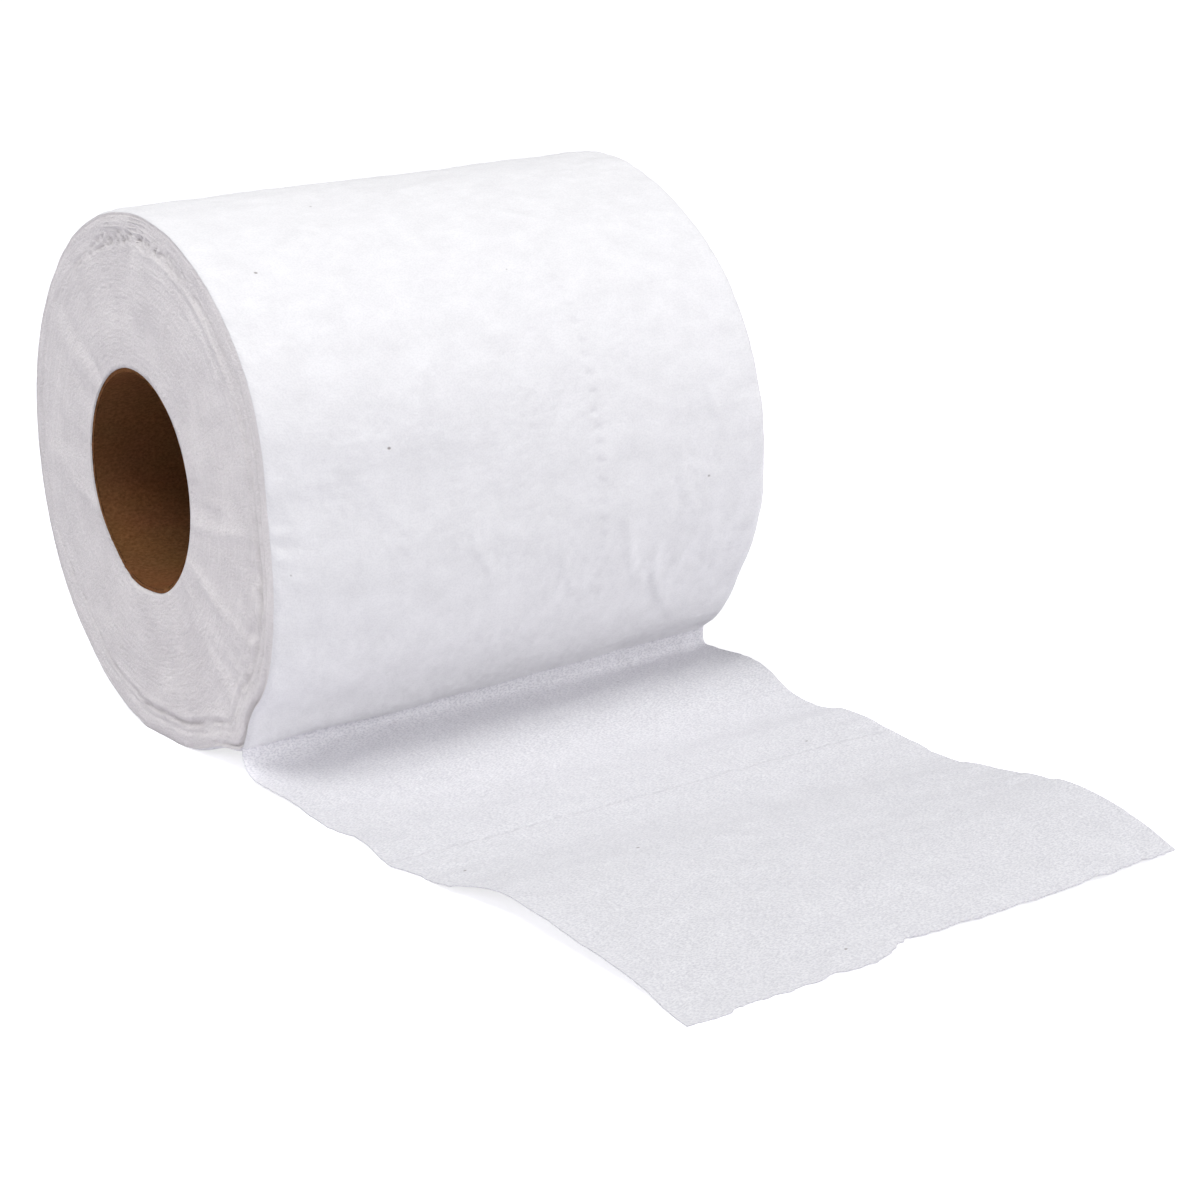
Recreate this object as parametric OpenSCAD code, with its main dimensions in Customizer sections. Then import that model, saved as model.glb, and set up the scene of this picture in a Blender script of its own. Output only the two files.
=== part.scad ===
// A toilet paper roll lying on its side, part used, with its loose end laid out in front of it.
// X runs along the roll, from the near end to the far end. The loose end runs toward -Y. Z is up.
// The origin is the middle of the hole in the core tube.

/* [Roll] */
// Diameter of the wound paper
roll_d = 101.6; // [84:0.2:130]
// Width of the paper, which is the length of the roll
roll_len = 103.4; // [60:0.2:140]
// Depth of the flat spot that the soft roll lies on
flat_depth = 1.7; // [1:0.1:4]
// How far the tube sits behind the middle of the paper
core_back = 4.4; // [0:0.1:6]
// How far the tube sits below the middle of the paper
core_drop = 0.4; // [0:0.1:3]
// How much the rims of the paper are rounded off
rim_soft = 0.5; // [0.1:0.1:1.5]

/* [Turns] */
// Turns that are drawn on each end face
turns = 10; // [4:1:14]
// Height of the turns' edges on the end faces
turn_relief = 0.7; // [0.1:0.1:1.2]

/* [Loosened paper] */
// How far the front of the near end is pressed in
front_dent = 2.4; // [0:0.1:4]
// How far the loosened turns stand out at the foot of the near end
foot_bulge = 3.2; // [0:0.1:5]
// How far the top of the far end has slumped
far_slump = 1.6; // [0:0.1:3]

/* [Core tube] */
// Diameter of the hole in the tube
bore_d = 41; // [30:0.2:50]
// Thickness of the tube's board
core_wall = 0.75; // [0.4:0.05:1.5]
// Gap between the tube and the first turn
core_gap = 0.05; // [0.02:0.01:0.3]
// How far each end of the tube lies inside the roll
core_recess = 0.2; // [0:0.1:2]

/* [Loose end] */
// Thickness of the paper
web_t = 0.3; // [0.2:0.05:0.6]
// Angle at which the paper leaves the roll, from the back over the top
leave_angle = 232; // [215:1:238]
// How far the loose end reaches from the roll's middle, at its longest
reach = 175.5; // [100:0.5:260]
// Width of the tight bend where the paper meets the floor
bend = 5.5; // [4:0.5:7]
// How far the bend's fold is tucked under the roll at the near end
near_tuck = 0.8; // [0.3:0.1:4]
// How far the bend's fold is tucked under the roll at the far end
far_tuck = 0.6; // [0.3:0.1:4]
// How close the paper keeps to a sharp fold at the near end
near_crisp = 0.6; // [0.4:0.02:0.94]
// How close the paper keeps to a sharp fold at the far end
far_crisp = 0.92; // [0.4:0.02:0.94]
// Height of the waves in the loose end, as a share of the height drawn
wave = 1; // [0.2:0.1:1.6]

/* [Hidden] */
$fn = 96;

roll_r = roll_d / 2;
bore_r = bore_d / 2;
core_r = bore_r + core_wall;
floor_z = core_drop - roll_r + flat_depth;

// Each swelling of the wound paper's outline is [angle, half width, height at near end, at far end].
swellings = [
    [115, 20, 0, -far_slump],
    [176, 15, -front_dent, -0.2],
    [214, 11, 1.5, -1.4],
    [234, 6.5, foot_bulge, -1],
    [270, 24, -0.6, -0.6]
];

// Places along the roll where its outline is drawn, as shares of its length.
stations = [0, 0.015, 0.1, 0.19, 0.28, 0.36, 0.43, 0.52, 0.62, 0.72, 0.82, 0.91, 0.985, 1];

// The loose end's waves are [share of the run, height at near edge, height at far edge].
wave_rows = [
    [0, 0.8, 5.9],
    [0.05, 0.7, 6.2],
    [0.1, 0.5, 5.2],
    [0.15, 0, 2.7],
    [0.22, 0, 1.7],
    [0.3, 0.3, 3],
    [0.4, 0.2, 2.5],
    [0.45, 0.3, 2],
    [0.5, 1.5, 1.5],
    [0.55, 3, 1.6],
    [0.6, 4, 2.6],
    [0.66, 4.4, 3.2],
    [0.73, 3.8, 4.4],
    [0.8, 2.9, 5.4],
    [0.87, 2, 4.9],
    [0.93, 0.8, 3.5],
    [1, 0, 0.6]
];

// The leaving line is [share of the length, degrees past the leave angle].
leaving_line = [[0, 1.4], [0.06, 3.2], [0.14, 4.2], [0.5, 4.6], [0.57, 3], [0.66, -0.8], [0.74, -2], [1, -2]];

// The torn edge is [share of the width, how far it falls short of the longest reach].
torn_edge = [[0, 0], [0.09, 0.5], [0.36, 3.4], [0.43, 7.2], [0.62, 7.8], [0.82, 9.4], [1, 11.6]];

// Sides of the wound paper, and steps along the bend and along the run to the torn edge.
segments = 60;
bend_steps = 8;
run_steps = 26;

// Each drawn turn is a ridge and a groove. The hole's flat sides just clear the tube.
bands = 2 * turns;
hole_r = (core_r + core_gap) / cos(180 / segments);

// The wound paper's last side stops this many degrees short of the leaving line, to close under the web.
peel = 1.6;

// The bend's fold lies at least this far below the leaving line.
fold_drop = 2;

// Shares this close to 0 or 1 count as 0 or 1, so that no sliver is drawn at the hole or the rim.
sliver = 0.01;

function mix(a, b, s) = a + (b - a) * s;
function limit(v) = v < sliver ? 0 : v > 1 - sliver ? 1 : v;
function bump(a, middle, half) = exp(-pow((a - middle) / half, 2));

// Heights between the wave rows follow a smooth curve through them.
function row_after(s, rows, i = 1) = i >= len(rows) - 1 || s <= rows[i][0] ? i : row_after(s, rows, i + 1);
function slope(rows, i, col) =
    let(a = max(0, i - 1), b = min(len(rows) - 1, i + 1))
    (rows[b][col] - rows[a][col]) / (rows[b][0] - rows[a][0]);
function curve(s, rows, col) =
    let(
        i = row_after(s, rows),
        span = rows[i][0] - rows[i - 1][0],
        u = (s - rows[i - 1][0]) / span
    )
    rows[i - 1][col] * (1 + 2 * u) * pow(1 - u, 2)
    + rows[i][col] * u * u * (3 - 2 * u)
    + span * slope(rows, i - 1, col) * u * pow(1 - u, 2)
    - span * slope(rows, i, col) * u * u * (1 - u);

// Each side of the wound paper starts at the leaving line, whose angle changes a little along the roll.
function leave_at(s) = leave_angle + lookup(s, leaving_line);
function angle_at(i, s) = leave_at(s) + peel + (360 - peel) * i / segments;

// Outline of the wound paper, as [y, z], at an angle and a share of the length.
function swelling(a, s) = [for (w = swellings) mix(w[2], w[3], s) * bump(a, w[0], w[1])];
function total(v) = v * [for (one = v) 1];
function rim(s) = s == 0 || s == 1 ? rim_soft : 0;
function outline(a, s) =
    let(
        turned = a >= 360 ? a - 360 : a,
        r = roll_r + total(swelling(turned, s)) - rim(s),
        y = r * cos(turned) - core_back,
        z = r * sin(turned) + core_drop
    )
    [y, max(floor_z, z)];

// One column of the end face, from the hole to the outline, which the turns cross as a spiral.
function spiral_share(i, ring) = limit((ring - 2 + 2 * i / segments) / bands);
function relief(t, ring) =
    turn_relief * min(1, t * bands, (1 - t) * bands) * (ring % 2 == 0 ? 0 : -1);
function face_point(i, ring, s) =
    let(
        a = angle_at(i, s),
        hole_a = a - lookup(s, leaving_line),
        t = spiral_share(i, ring),
        hole = [hole_r * cos(hole_a), hole_r * sin(hole_a)],
        p = mix(hole, outline(a, s), t),
        x = mix(-roll_len / 2, roll_len / 2, s),
        outwards = s == 0 ? -1 : 1
    )
    [x + outwards * relief(t, ring), p[0], p[1]];

// Middle of the loose web, as [y, z], from where it leaves the roll to its torn edge.
function run_start() = outline(leave_angle, 0.5)[0] - bend;
function run_end(s) = -reach - core_back + lookup(s, torn_edge);
function web_height(v, s) =
    let(near = curve(v, wave_rows, 1), far = curve(v, wave_rows, 2))
    wave * max(0, mix(near, far, s));
function run_point(v, s) =
    [mix(run_start(), run_end(s), v), floor_z + web_t / 2 + web_height(v, s)];
function bend_point(u, s) =
    let(
        p0 = outline(leave_at(s), s),
        p3 = run_point(0, s),
        fold = [p0[0] + mix(near_tuck, far_tuck, s), min(p3[1], p0[1] - fold_drop)],
        crisp = mix(near_crisp, far_crisp, s),
        p1 = mix(p0, fold, crisp),
        p2 = mix(p3, fold, crisp)
    )
    p0 * pow(1 - u, 3) + 3 * p1 * u * pow(1 - u, 2) + 3 * p2 * u * u * (1 - u) + p3 * pow(u, 3);
function web_point(k, s) = k <= bend_steps
    ? bend_point(k / bend_steps, s)
    : run_point((k - bend_steps) / run_steps, s);
function web_side(k, s) =
    let(
        last = bend_steps + run_steps,
        d = web_point(min(last, k + 1), s) - web_point(max(0, k - 1), s)
    )
    [d[1], -d[0]] / norm(d);
// The web's upper face for a side of 1, and its lower face for a side of -1.
function web_face(k, s, side) =
    let(p = web_point(k, s) + web_side(k, s) * side * web_t / 2)
    [mix(-roll_len / 2, roll_len / 2, s), p[0], max(floor_z, p[1])];

module core_tube() {
    length = roll_len - 2 * core_recess;
    overrun = 1;
    color("peru")
        rotate([0, 90, 0])
            difference() {
                cylinder(r = core_r, h = length, center = true);
                cylinder(r = bore_r, h = length + 2 * overrun, center = true);
            }
}

// The paper is one web. Its turns are one closed solid, whose outer turn runs on into the loose end.
module tissue_roll() {
    steps = bend_steps + run_steps;
    last = len(stations) - 1;
    rings = bands + 2;
    loop = segments + 1 + 2 * steps;

    // Each station's loop goes round the roll, out along the upper face and back along the lower one.
    skin = [for (s = stations) each concat(
        [for (i = [0 : segments]) face_point(i, rings, s)],
        [for (k = [1 : steps]) web_face(k, s, 1)],
        [for (k = [steps : -1 : 1]) web_face(k, s, -1)]
    )];
    grid = [for (s = [0, 1], i = [0 : segments], ring = [0 : rings]) face_point(i, ring, s)];
    function on_skin(j, i) = j * loop + i % loop;
    function on_grid(end, i, ring) = len(skin) + (end * (segments + 1) + i) * (rings + 1) + ring;
    function on_face(end, i, ring) =
        let(t = spiral_share(i, ring))
        t == 1 ? on_skin(end * last, i) : on_grid(end, i, t == 0 ? 0 : ring);
    function next(i) = i == segments ? 0 : i + 1;
    function step(i) = i == segments ? 2 : 0;

    around = [for (j = [0 : last - 1], i = [0 : loop - 1])
        [on_skin(j, i), on_skin(j, i + 1), on_skin(j + 1, i + 1), on_skin(j + 1, i)]];
    hole = [for (i = [0 : segments])
        [on_grid(0, i, 0), on_grid(1, i, 0), on_grid(1, next(i), 0), on_grid(0, next(i), 0)]];
    near_turns = [for (i = [0 : segments], ring = [0 : rings - 1])
        [
            on_face(0, i, ring),
            on_face(0, next(i), min(rings, ring + step(i))),
            on_face(0, next(i), min(rings, ring + step(i) + 1)),
            on_face(0, i, ring + 1)
        ]];
    far_turns = [for (i = [0 : segments], ring = [0 : rings - 1])
        [
            on_face(1, i, ring),
            on_face(1, i, ring + 1),
            on_face(1, next(i), min(rings, ring + step(i) + 1)),
            on_face(1, next(i), min(rings, ring + step(i)))
        ]];
    near_edge = [for (k = [0 : steps - 1])
        [
            on_skin(0, segments + k),
            on_skin(0, loop - k),
            on_skin(0, loop - k - 1),
            on_skin(0, segments + k + 1)
        ]];
    far_edge = [for (k = [0 : steps - 1])
        [
            on_skin(last, segments + k),
            on_skin(last, segments + k + 1),
            on_skin(last, loop - k - 1),
            on_skin(last, loop - k)
        ]];
    quads = concat(around, hole, near_turns, far_turns, near_edge, far_edge);
    triangles = [for (q = quads) each [[q[0], q[2], q[1]], [q[0], q[3], q[2]]]];

    color("whitesmoke")
        polyhedron(
            concat(skin, grid),
            [for (t = triangles) if (t[0] != t[1] && t[1] != t[2] && t[2] != t[0]) t]
        );
}

core_tube();
tissue_roll();
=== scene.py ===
import math

import bpy
import numpy as np
from mathutils import Matrix, Vector


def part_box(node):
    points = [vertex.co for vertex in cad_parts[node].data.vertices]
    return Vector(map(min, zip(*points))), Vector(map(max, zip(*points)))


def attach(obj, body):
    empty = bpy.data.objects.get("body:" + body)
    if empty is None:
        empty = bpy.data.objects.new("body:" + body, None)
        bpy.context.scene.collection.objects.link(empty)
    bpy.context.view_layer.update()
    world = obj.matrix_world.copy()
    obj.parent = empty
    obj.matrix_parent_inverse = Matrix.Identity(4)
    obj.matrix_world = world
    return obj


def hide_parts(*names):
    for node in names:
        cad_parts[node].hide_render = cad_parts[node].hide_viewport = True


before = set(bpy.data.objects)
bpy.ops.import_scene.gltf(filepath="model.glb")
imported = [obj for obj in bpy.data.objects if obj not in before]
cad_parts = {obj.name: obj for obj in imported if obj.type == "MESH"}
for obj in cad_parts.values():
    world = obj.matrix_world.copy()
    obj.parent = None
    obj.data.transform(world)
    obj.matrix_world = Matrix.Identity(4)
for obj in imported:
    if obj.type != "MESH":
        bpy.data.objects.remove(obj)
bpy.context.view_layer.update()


# The camera stands low in front of the roll's left end and looks slightly down, as the photograph does.
# Its frame is square. It has a long lens, so the roll shows little perspective.
mm = 0.001
camera_place = Vector((-306.4, -563.2, 141.7)) * mm
camera_turn = 32.207
camera_tilt = 15.310
camera_roll = -2.082
camera_lens = 101.587

look = Vector((
    math.sin(math.radians(camera_turn)) * math.cos(math.radians(camera_tilt)),
    math.cos(math.radians(camera_turn)) * math.cos(math.radians(camera_tilt)),
    -math.sin(math.radians(camera_tilt)),
))
right = look.cross(Vector((0, 0, 1))).normalized()
above = right.cross(look)
lean = math.radians(camera_roll)
frame_right = right * math.cos(lean) + above * math.sin(lean)
frame_above = above * math.cos(lean) - right * math.sin(lean)

camera_data = bpy.data.cameras.new("camera")
camera_data.lens = camera_lens
camera_data.sensor_fit = "HORIZONTAL"
camera_data.sensor_width = 36
camera = bpy.data.objects.new("camera", camera_data)
turned = Matrix((frame_right, frame_above, -look)).transposed()
camera.matrix_world = Matrix.Translation(camera_place) @ turned.to_4x4()
bpy.context.scene.collection.objects.link(camera)
bpy.context.scene.camera = camera


# The core tube is wound on a slant from strips of unbleached board and glued, then sawn to length with the
# roll. A slanting seam runs along its bore, its cut ends are slightly rough, and one side is creased.
tube_bore_r = 20.5
tube_wall = 0.75
seam_pitch = 150
crease_angle = 312
tube_low, tube_high = (np.array(corner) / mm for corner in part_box("core_tube"))
tube_len = tube_high[0] - tube_low[0]


def smooth_noise(a, b, seed):
    """Soft noise from -1 to 1 over two running measures, with lumps one unit apart."""
    table = np.random.default_rng(seed).uniform(-1, 1, (512, 512))
    ia, ib = np.floor(a).astype(int), np.floor(b).astype(int)
    fa, fb = a - ia, b - ib
    fa, fb = fa * fa * (3 - 2 * fa), fb * fb * (3 - 2 * fb)
    low = table[ia % 512, ib % 512] * (1 - fa) + table[(ia + 1) % 512, ib % 512] * fa
    high = table[ia % 512, (ib + 1) % 512] * (1 - fa) + table[(ia + 1) % 512, (ib + 1) % 512] * fa
    return low * (1 - fb) + high * fb


def bump(value, middle, half):
    return np.exp(-((value - middle) / half) ** 2)


def blend(low, high, value):
    """Rises smoothly from 0 to 1 between low and high."""
    t = np.clip((value - low) / (high - low), 0, 1)
    return t * t * (3 - 2 * t)


def grid_faces(rows, columns, start=0, close_rows=False, close_columns=False):
    """Faces of a grid of points stored row by row."""
    i = np.arange(rows if close_rows else rows - 1)[:, None]
    j = np.arange(columns if close_columns else columns - 1)[None, :]
    ni, nj = (i + 1) % rows, (j + 1) % columns
    return np.stack([
        start + i * columns + j, start + i * columns + nj,
        start + ni * columns + nj, start + ni * columns + j,
    ], -1).reshape(-1, 4)


def make_mesh(name, points, faces, edges=()):
    """Makes an object at the origin from points in millimetres."""
    mesh = bpy.data.meshes.new(name)
    mesh.from_pydata((np.asarray(points) * mm).tolist(), list(edges), [list(f) for f in faces])
    mesh.update()
    piece = bpy.data.objects.new(name, mesh)
    bpy.context.scene.collection.objects.link(piece)
    return piece


def make_tree(name, inputs):
    """A Geometry Nodes tree with a geometry socket each way and the named inputs."""
    tree = bpy.data.node_groups.new(name, "GeometryNodeTree")
    tree.interface.new_socket("Geometry", in_out="INPUT", socket_type="NodeSocketGeometry")
    for label, kind in inputs:
        tree.interface.new_socket(label, in_out="INPUT", socket_type=kind)
    tree.interface.new_socket("Geometry", in_out="OUTPUT", socket_type="NodeSocketGeometry")
    return tree, tree.nodes.new("NodeGroupInput"), tree.nodes.new("NodeGroupOutput")


def calculate(tree, operation, *values):
    """One math node, whose inputs are numbers or sockets."""
    node = tree.nodes.new("ShaderNodeMath")
    node.operation = operation
    for socket, value in zip(node.inputs, values):
        if isinstance(value, (int, float)):
            socket.default_value = value
        else:
            tree.links.new(value, socket)
    return node.outputs[0]


def close_tree(tree, group_in, group_out, geometry):
    """Ends a tree in Realize Instances and Set Material."""
    real = tree.nodes.new("GeometryNodeRealizeInstances")
    paint = tree.nodes.new("GeometryNodeSetMaterial")
    tree.links.new(geometry, real.inputs["Geometry"])
    tree.links.new(real.outputs["Geometry"], paint.inputs["Geometry"])
    tree.links.new(group_in.outputs["Material"], paint.inputs["Material"])
    tree.links.new(paint.outputs["Geometry"], group_out.inputs["Geometry"])


def apply_tree(piece, tree, values):
    """Runs a tree on a piece and keeps the result as its plain mesh."""
    modifier = piece.modifiers.new(tree.name, "NODES")
    modifier.node_group = tree
    for item in tree.interface.items_tree:
        if item.in_out == "INPUT" and item.name in values:
            modifier[item.identifier] = values[item.name]
    evaluated = piece.evaluated_get(bpy.context.evaluated_depsgraph_get())
    result = bpy.data.meshes.new_from_object(evaluated)
    piece.modifiers.remove(modifier)
    piece.data = result


def make_material(name, roughness):
    """A material with its node tree and its shader."""
    material = bpy.data.materials.new(name)
    material.use_nodes = True
    shader = material.node_tree.nodes["Principled BSDF"]
    shader.inputs["Roughness"].default_value = roughness
    shader.inputs["Specular IOR Level"].default_value = 0.25
    return material, material.node_tree, shader


def add_node(tree, kind, settings=(), **values):
    """A shader node with its settings and its inputs, given by name."""
    node = tree.nodes.new(kind)
    for key, value in dict(settings).items():
        setattr(node, key, value)
    for key, value in values.items():
        socket = node.inputs[key.replace("_", " ")]
        if hasattr(value, "is_output"):
            tree.links.new(value, socket)
        else:
            socket.default_value = value
    return node


def stretched(tree, source, scale):
    """A coordinate scaled differently each way, in repeats for each metre."""
    mapping = add_node(tree, "ShaderNodeMapping", Vector=source)
    mapping.inputs["Scale"].default_value = scale
    return mapping.outputs["Vector"]


board, tree, shader = make_material("unbleached_board", 0.8)
shader.inputs["Specular IOR Level"].default_value = 0.04
place = add_node(tree, "ShaderNodeTexCoord").outputs["Object"]
fibres = add_node(tree, "ShaderNodeTexNoise", Vector=stretched(tree, place, (1500, 2300, 2300)),
                  Scale=1.0, Detail=3.0, Roughness=0.6)
clouds = add_node(tree, "ShaderNodeTexNoise", Vector=stretched(tree, place, (70, 140, 140)),
                  Scale=1.0, Detail=3.0, Roughness=0.5)
# The board's tones are set darker than bare unbleached board: its own brown, with painted shade for the
# inside of the bore.
tone = add_node(tree, "ShaderNodeValToRGB", Fac=fibres.outputs["Fac"])
tone.color_ramp.elements[0].position = 0.3
tone.color_ramp.elements[0].color = (0.15, 0.061, 0.021, 1)
tone.color_ramp.elements[1].position = 0.72
tone.color_ramp.elements[1].color = (0.255, 0.117, 0.049, 1)
shade = add_node(tree, "ShaderNodeMix", {"data_type": "RGBA", "blend_type": "MULTIPLY"})
shade.inputs["Factor"].default_value = 0.25
tree.links.new(tone.outputs["Color"], shade.inputs[6])
tree.links.new(clouds.outputs["Color"], shade.inputs[7])
tree.links.new(shade.outputs[2], shader.inputs["Base Color"])
grain = add_node(tree, "ShaderNodeBump", Height=fibres.outputs["Fac"], Strength=0.3, Distance=0.0001)
tree.links.new(grain.outputs["Normal"], shader.inputs["Normal"])

tube_turns = 192
tube_x = np.concatenate([[0, 0.15, 0.4, 0.9], np.linspace(2, tube_len - 2, 60),
                         tube_len - np.array([0.9, 0.4, 0.15, 0])]) - tube_len / 2
tube_angle = np.linspace(0, 2 * np.pi, tube_turns, endpoint=False)
skin_radius = np.repeat([tube_bore_r + tube_wall, tube_bore_r], len(tube_x))
skin_x = np.concatenate([tube_x, tube_x[::-1]])
tube_points = np.stack([
    np.repeat(skin_x[:, None], tube_turns, 1),
    skin_radius[:, None] * np.cos(tube_angle),
    skin_radius[:, None] * np.sin(tube_angle),
], -1)


def tube_dent(degrees, x):
    """How far the tube is pushed in, at an angle and a place along it. It is deepest at the near end."""
    creased = 0.75 * bump(degrees, crease_angle, 20) + 0.45 * bump(degrees, 268, 13)
    return creased * (0.5 - x / tube_len)


dent = tube_dent(np.degrees(tube_angle)[None, :], skin_x[:, None]) / skin_radius[:, None]
tube_points[..., 1:] *= (1 - dent)[..., None]
core_tube = make_mesh("board_tube", tube_points.reshape(-1, 3),
                      grid_faces(len(skin_x), tube_turns, close_rows=True, close_columns=True))

winding, given, result = make_tree("board_winding", [
    ("Pitch", "NodeSocketFloat"), ("Seam width", "NodeSocketFloat"),
    ("Seam depth", "NodeSocketFloat"), ("Middle radius", "NodeSocketFloat"),
    ("Half length", "NodeSocketFloat"), ("Roughness", "NodeSocketFloat"),
    ("Material", "NodeSocketMaterial"),
])
spot = winding.nodes.new("GeometryNodeInputPosition")
split = winding.nodes.new("ShaderNodeSeparateXYZ")
winding.links.new(spot.outputs[0], split.inputs[0])
x, y, z = split.outputs
turn = calculate(winding, "DIVIDE", calculate(winding, "ARCTAN2", y, z), 2 * math.pi)
phase = calculate(winding, "FRACT", calculate(winding, "ADD", turn, calculate(winding, "ADD", calculate(
    winding, "DIVIDE", x, given.outputs["Pitch"]), 8.0)))
away = calculate(winding, "ABSOLUTE", calculate(winding, "SUBTRACT", phase, 0.5))
away = calculate(winding, "MULTIPLY", away, given.outputs["Pitch"])
radius = calculate(winding, "SQRT", calculate(winding, "ADD", calculate(winding, "MULTIPLY", y, y),
                                              calculate(winding, "MULTIPLY", z, z)))
inside = calculate(winding, "LESS_THAN", radius, given.outputs["Middle radius"])
near_seam = calculate(winding, "LESS_THAN", away, given.outputs["Seam width"])
groove = calculate(winding, "MULTIPLY", calculate(winding, "MULTIPLY", inside, near_seam),
                   given.outputs["Seam depth"])
frayed = winding.nodes.new("ShaderNodeTexNoise")
frayed.inputs["Scale"].default_value = 900
at_end = calculate(winding, "GREATER_THAN", calculate(winding, "ABSOLUTE", x), calculate(
    winding, "SUBTRACT", given.outputs["Half length"], 0.0001))
sawn_off = calculate(winding, "SUBTRACT", frayed.outputs["Fac"], 0.75)
fray = calculate(winding, "MULTIPLY", at_end, calculate(
    winding, "MULTIPLY", given.outputs["Roughness"], sawn_off))
outwards = winding.nodes.new("ShaderNodeCombineXYZ")
winding.links.new(calculate(winding, "MULTIPLY", fray, calculate(winding, "SIGN", x)), outwards.inputs[0])
for number, value in ((1, y), (2, z)):
    direction = calculate(winding, "DIVIDE", value, radius)
    winding.links.new(calculate(winding, "MULTIPLY", groove, direction), outwards.inputs[number])
shift = winding.nodes.new("GeometryNodeSetPosition")
winding.links.new(given.outputs["Geometry"], shift.inputs["Geometry"])
winding.links.new(outwards.outputs[0], shift.inputs["Offset"])
close_tree(winding, given, result, shift.outputs["Geometry"])
apply_tree(core_tube, winding, {
    "Pitch": seam_pitch * mm, "Seam width": 0.5 * mm, "Seam depth": 0.22 * mm,
    "Middle radius": (tube_bore_r + tube_wall / 2) * mm, "Half length": tube_len / 2 * mm,
    "Roughness": 0.9 * mm, "Material": board,
})
core_tube.data.shade_smooth()
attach(core_tube, "root")
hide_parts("core_tube")


# The web is two-ply tissue, one sheet from the torn end to the tube. Before it is wound it is pressed with
# small dots, crimped along one line that joins the plies, and cut through in a row of short slits.
roll_r = 50.8
core_back = 4.4
core_drop = 0.4
leave_angle = 232
peel = 1.6
rim_soft = 0.5
reach = 175.5
paper = 0.18
bend = 5.5
perforation_y = -92.4
across_step = 0.62
fine_step = 0.6
coarse_step = 2.0
dot_gap = 2.1
dot_stray = 0.75
dot_reach = 0.95
dot_depth = 0.2
crimp_x = 15.6
crimp_gap = 3.3
crimp_reach = 0.75
crimp_depth = 0.22
slit_length = 3.0
slit_gap = 1.1
slit_reach = 0.45
slit_depth = 0.2
roll_low, roll_high = (np.array(corner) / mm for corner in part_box("tissue_roll"))
roll_len = roll_high[0] - roll_low[0]
floor_z = roll_low[2]

# Each swelling of the wound paper is [angle, half width, height at near end, at far end].
swellings = [(115, 20, 0, -1.6), (176, 15, -2.4, -0.2), (214, 11, 1.5, -1.4), (234, 6.5, 3.2, -1.6),
             (270, 24, -0.6, -0.6)]
# The leaving line is [share of the width, degrees past the leaving angle].
leaving_line = np.array([(0, 1.4), (0.06, 3.2), (0.14, 4.2), (0.5, 4.6), (0.66, 3), (1, 2.8)])
# The loose end's waves are [share of the run, height at near edge, height at far edge].
wave_rows = np.array([
    (0, 0.8, 5.9), (0.05, 0.7, 6.2), (0.1, 0.5, 5.2), (0.15, 0, 2.7), (0.22, 0, 1.7), (0.3, 0.3, 3),
    (0.4, 0.2, 2.5), (0.45, 0.3, 2), (0.5, 1.5, 1.5), (0.55, 3, 1.6), (0.6, 4, 2.6), (0.66, 4.4, 3.2),
    (0.73, 3.8, 4.4), (0.8, 2.9, 5.4), (0.87, 2, 4.9), (0.93, 0.8, 3.5), (1, 0, 0.6),
])
# The torn edge is [share of the width, how far it falls short of the longest reach].
torn_edge = np.array([
    (0, -0.4), (0.04, -0.7), (0.09, 0.2), (0.2, 1.4), (0.275, 2.3), (0.285, 1.7), (0.31, 2.1), (0.34, 2.5),
    (0.37, 3.4), (0.415, 6.3), (0.44, 7.5), (0.455, 6.4), (0.5, 6.5), (0.6, 7.3), (0.72, 8.2), (0.86, 9.4),
    (0.93, 10.7), (0.945, 9.9), (0.98, 11), (1, 10.8),
])
# The near edge wanders sideways by [y, distance].
near_wander = np.array([
    (-181, -1.5), (-176, -1), (-168, 0), (-140, -0.2), (-136, -0.4), (-126, 0.4), (-113, -0.2),
    (-109, -0.6), (-101, -0.4), (-97, -1.3), (-94, -2.2), (-89, -1.6), (-85, -0.8), (-81, -0.1),
    (-76.5, 0.35), (-73, -0.3), (-69, -0.75), (-63, -0.4), (-57, 0), (-30, 0),
])

edge_steps = np.array([0, 0.15, 0.4, 0.75, 1.2])
across = np.concatenate([edge_steps, np.arange(1.8, roll_len - 1.7, across_step),
                         roll_len - edge_steps[::-1]])
share = across / roll_len
columns = len(across)


def outline(angle, part):
    """Place of the wound paper's surface, as y and z, at an angle and a share of the length."""
    angle = np.mod(angle, 360)
    radius = roll_r + sum((near + (far - near) * part) * bump(angle, middle, half)
                          for middle, half, near, far in swellings)
    edge = np.minimum(part, 1 - part) * roll_len
    radius = radius - rim_soft * np.clip(1 - edge / 1.2, 0, 1) ** 2
    y = radius * np.cos(np.radians(angle)) - core_back
    z = radius * np.sin(np.radians(angle)) + core_drop
    return np.stack([y, np.maximum(z, floor_z)], -1)


def smooth_curve(at, height, v):
    """Smooth curve through the given heights."""
    slope = np.gradient(height, at)
    i = np.clip(np.searchsorted(at, v) - 1, 0, len(at) - 2)
    span = at[i + 1] - at[i]
    u = np.clip((v - at[i]) / span, 0, 1)
    return (height[i] * (1 + 2 * u) * (1 - u) ** 2 + height[i + 1] * u * u * (3 - 2 * u)
            + span * slope[i] * u * (1 - u) ** 2 - span * slope[i + 1] * u * u * (1 - u))


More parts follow.
